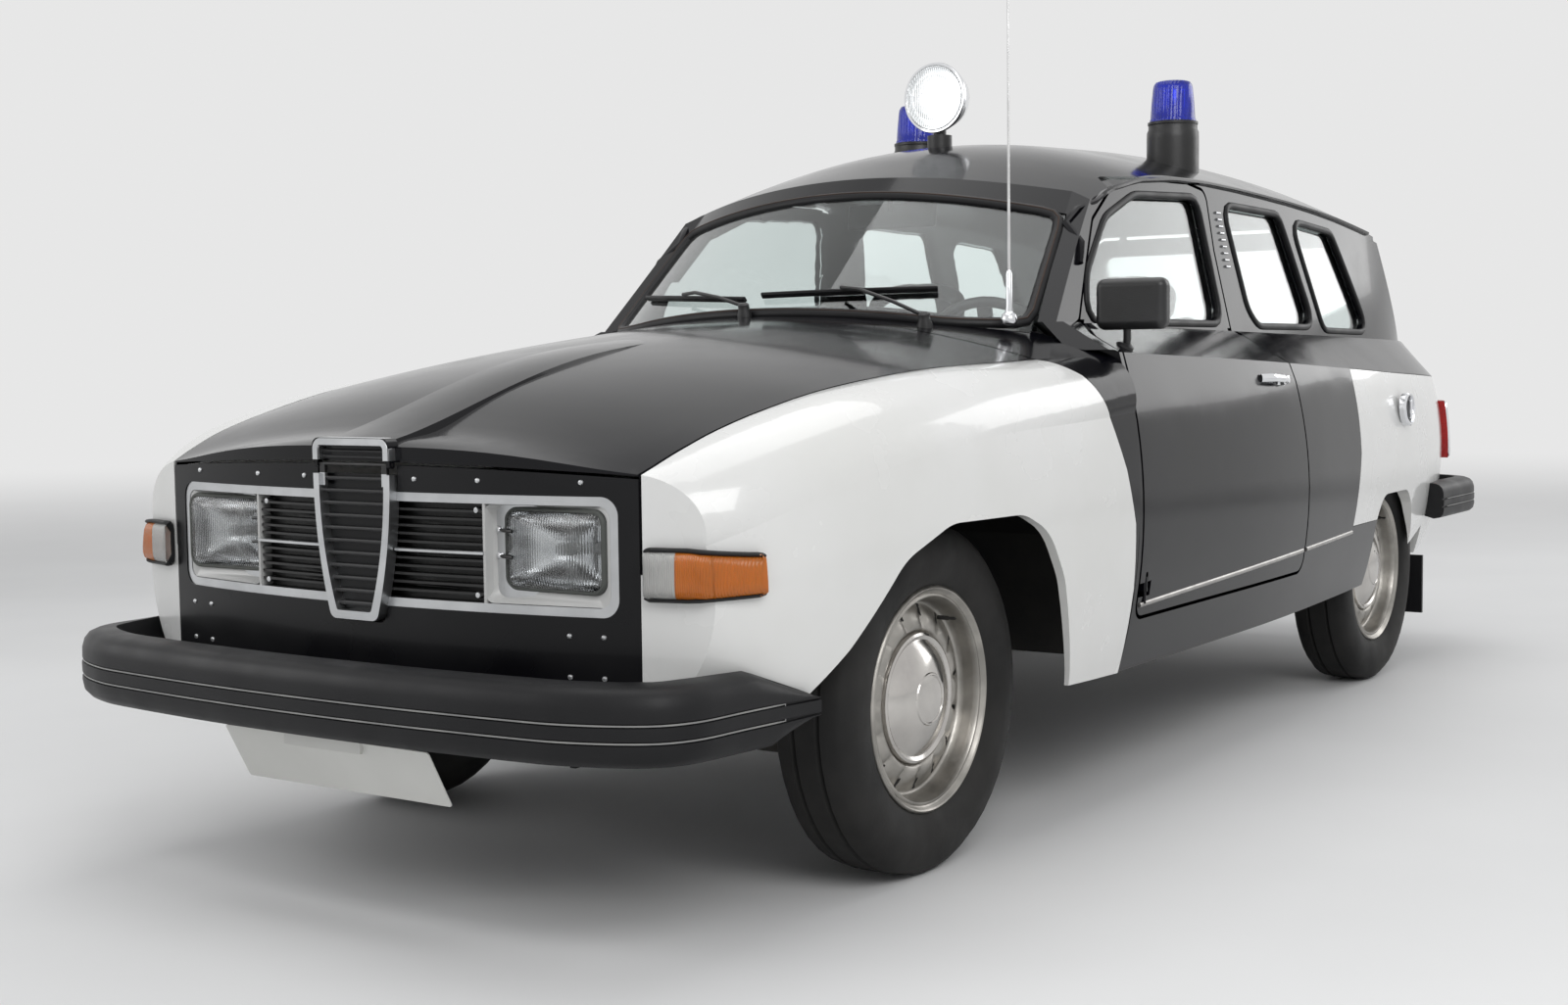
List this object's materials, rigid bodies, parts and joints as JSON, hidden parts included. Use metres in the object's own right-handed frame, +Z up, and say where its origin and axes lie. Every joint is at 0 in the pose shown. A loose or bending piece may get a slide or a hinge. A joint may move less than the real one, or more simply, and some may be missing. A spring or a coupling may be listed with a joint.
{
  "type": "police patrol car",
  "caption": "Two-door estate patrol car with opening doors, hood and tailgate, steered front wheels, roof beacons and a turning searchlight.",
  "frame": {"origin": "on the floor, on the car's centre plane, straight below the front axle", "axes": "+X to the car's left, +Y to its rear, +Z up"},
  "size_m": [1.6095, 4.2878, 1.75],
  "materials": {
    "body_black": "glossy black paint",
    "fender_white": "glossy white paint",
    "nose_black": "satin black paint",
    "chassis_black": "underseal black",
    "chassis_steel": "dull black steel",
    "bright_silver": "silver paint",
    "bright_chrome": "polished chrome",
    "chrome_trim": "polished chrome",
    "wheel_silver": "silver wheel paint",
    "tyre_rubber": "matt black rubber",
    "bumper_rubber": "satin black rubber",
    "black_plastic": "satin black plastic",
    "window_glass": "clear glass with a faint green tint",
    "lamp_glass": "fluted clear glass",
    "indicator_amber": "amber and clear lens",
    "lamp_red": "red lens",
    "beacon_blue": "blue lens on a black base",
    "plate_white": "blank off-white plate",
    "seat_cloth": "dark woven cloth",
    "exhaust_steel": "dull steel",
    "engine_iron": "dark iron"
  },
  "bodies": {
    "root": {"antenna": "black_plastic", "beacons": "beacon_blue", "chassis_rails": "chassis_black", "dashboard": "black_plastic", "engine_block": "engine_iron", "exhaust": "exhaust_steel", "filler_cap": "fender_white", "floor_pan": "chassis_black", "front_bumper": "bumper_rubber", "front_fender_left": "fender_white", "front_fender_right": "fender_white", "front_seats": "seat_cloth", "front_suspension": "chassis_steel", "grille": "bright_silver", "grille_shield": "bright_silver", "headlamps": "lamp_glass", "indicators": "indicator_amber", "jack_sockets": "chassis_black", "mud_flaps": "bumper_rubber", "nose_panel": "nose_black", "number_plate_front": "plate_white", "rear_axle": "chassis_steel", "rear_bench": "seat_cloth", "rear_bumper": "bumper_rubber", "rear_fender_left": "fender_white", "rear_fender_right": "fender_white", "rear_panel": "body_black", "roof": "body_black", "scuttle": "body_black", "searchlight_base": "black_plastic", "side_frame_left": "body_black", "side_frame_right": "body_black", "side_windows": "window_glass", "tail_lamps": "lamp_red", "tow_eye": "chassis_black", "windscreen": "window_glass"},
    "door_left": {"door_left": "body_black", "door_glass_left": "window_glass", "door_handle_left": "chrome_trim", "door_mirror": "black_plastic"},
    "door_right": {"door_right": "body_black", "door_glass_right": "window_glass", "door_handle_right": "chrome_trim"},
    "hood": {"hood": "body_black"},
    "tailgate": {"tailgate": "body_black", "tailgate_glass": "window_glass", "number_plate_rear": "plate_white"},
    "searchlight": {"searchlight": "bright_chrome"},
    "steering_wheel": {"steering_wheel": "black_plastic"},
    "knuckle_left": {"knuckle_left": "chassis_steel"},
    "knuckle_right": {"knuckle_right": "chassis_steel"},
    "wheel_front_left": {"rim_front_left": "wheel_silver", "tyre_front_left": "tyre_rubber"},
    "wheel_front_right": {"rim_front_right": "wheel_silver", "tyre_front_right": "tyre_rubber"},
    "wheel_rear_left": {"rim_rear_left": "wheel_silver", "tyre_rear_left": "tyre_rubber"},
    "wheel_rear_right": {"rim_rear_right": "wheel_silver", "tyre_rear_right": "tyre_rubber"}
  },
  "joints": [
    {"name": "door_left_hinge", "type": "hinge", "parent": "root", "child": "door_left", "pos_m": [0.776, 0.692, 0.55], "axis": [0, 0, -1], "range_deg": [0, 65]},
    {"name": "door_right_hinge", "type": "hinge", "parent": "root", "child": "door_right", "pos_m": [-0.776, 0.692, 0.55], "axis": [0, 0, 1], "range_deg": [0, 65]},
    {"name": "hood_hinge", "type": "hinge", "parent": "root", "child": "hood", "pos_m": [0, -0.741, 0.764], "axis": [1, 0, 0], "range_deg": [0, 60]},
    {"name": "tailgate_hinge", "type": "hinge", "parent": "root", "child": "tailgate", "pos_m": [0, 2.92, 1.316], "axis": [1, 0, 0], "range_deg": [0, 80]},
    {"name": "searchlight_pan", "type": "hinge", "parent": "root", "child": "searchlight", "pos_m": [0, 1.215, 1.47], "axis": [0, 0, 1], "range_deg": [-170, 170]},
    {"name": "steer_left", "type": "hinge", "parent": "root", "child": "knuckle_left", "pos_m": [0.54, 0, 0.317], "axis": [0, 0, 1], "range_deg": [-33, 33]},
    {"name": "steer_right", "type": "hinge", "parent": "root", "child": "knuckle_right", "pos_m": [-0.54, 0, 0.317], "axis": [0, 0, 1], "range_deg": [-33, 33]},
    {"name": "steering_wheel_turn", "type": "hinge", "parent": "root", "child": "steering_wheel", "pos_m": [0.3, 0.96, 0.88], "axis": [0, 0.9135, 0.4067], "range_deg": [-430, 430]},
    {"name": "wheel_front_left_spin", "type": "hinge", "parent": "knuckle_left", "child": "wheel_front_left", "pos_m": [0.61, 0, 0.317], "axis": [1, 0, 0], "continuous": true},
    {"name": "wheel_front_right_spin", "type": "hinge", "parent": "knuckle_right", "child": "wheel_front_right", "pos_m": [-0.61, 0, 0.317], "axis": [1, 0, 0], "continuous": true},
    {"name": "wheel_rear_left_spin", "type": "hinge", "parent": "root", "child": "wheel_rear_left", "pos_m": [0.61, 2.498, 0.317], "axis": [1, 0, 0], "continuous": true},
    {"name": "wheel_rear_right_spin", "type": "hinge", "parent": "root", "child": "wheel_rear_right", "pos_m": [-0.61, 2.498, 0.317], "axis": [1, 0, 0], "continuous": true}
  ],
  "couplings": [
    {"joint": "steer_right", "follows": "steer_left", "ratio": 1},
    {"joint": "steering_wheel_turn", "follows": "steer_left", "ratio": 13}
  ]
}
